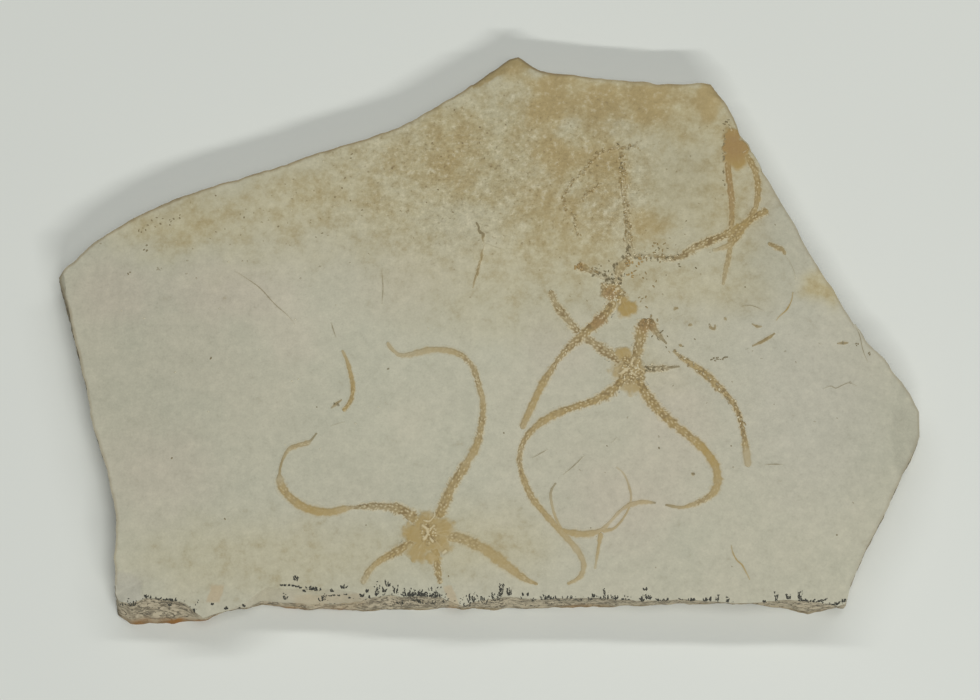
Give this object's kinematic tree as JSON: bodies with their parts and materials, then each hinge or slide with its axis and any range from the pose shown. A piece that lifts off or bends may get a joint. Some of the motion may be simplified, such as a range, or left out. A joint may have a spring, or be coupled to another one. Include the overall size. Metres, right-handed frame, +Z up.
{
  "type": "brittle star fossil plate",
  "caption": "Broken slab of pale fine-grained limestone lying flat, with slender-armed brittle stars fossilised in low relief on its upper face.",
  "frame": {"origin": "middle of the slab's box, on its flat underside", "axes": "+X along the slab's longest extent, +Y towards the peak of its outline, +Z up out of the face that carries the fossils"},
  "size_m": [0.2076, 0.1408, 0.0117],
  "materials": {
    "limestone": "matt pale grey-green beige limestone, mottled ochre over its upper third, with black manganese dendrites along the front edge",
    "fossil_calcite": "matt ochre-brown fossil calcite, granular where the arm plates show and smooth where a film of stone covers them"
  },
  "bodies": {
    "root": {"limestone_slab": "limestone", "star_lower_left": "fossil_calcite", "star_centre": "fossil_calcite", "star_upper": "fossil_calcite", "star_edge": "fossil_calcite", "arm_piece_right": "fossil_calcite", "arm_tip_right": "fossil_calcite", "arm_scrap_right": "fossil_calcite", "arm_piece_left": "fossil_calcite", "arm_piece_upper_left": "fossil_calcite"}
  },
  "joints": []
}
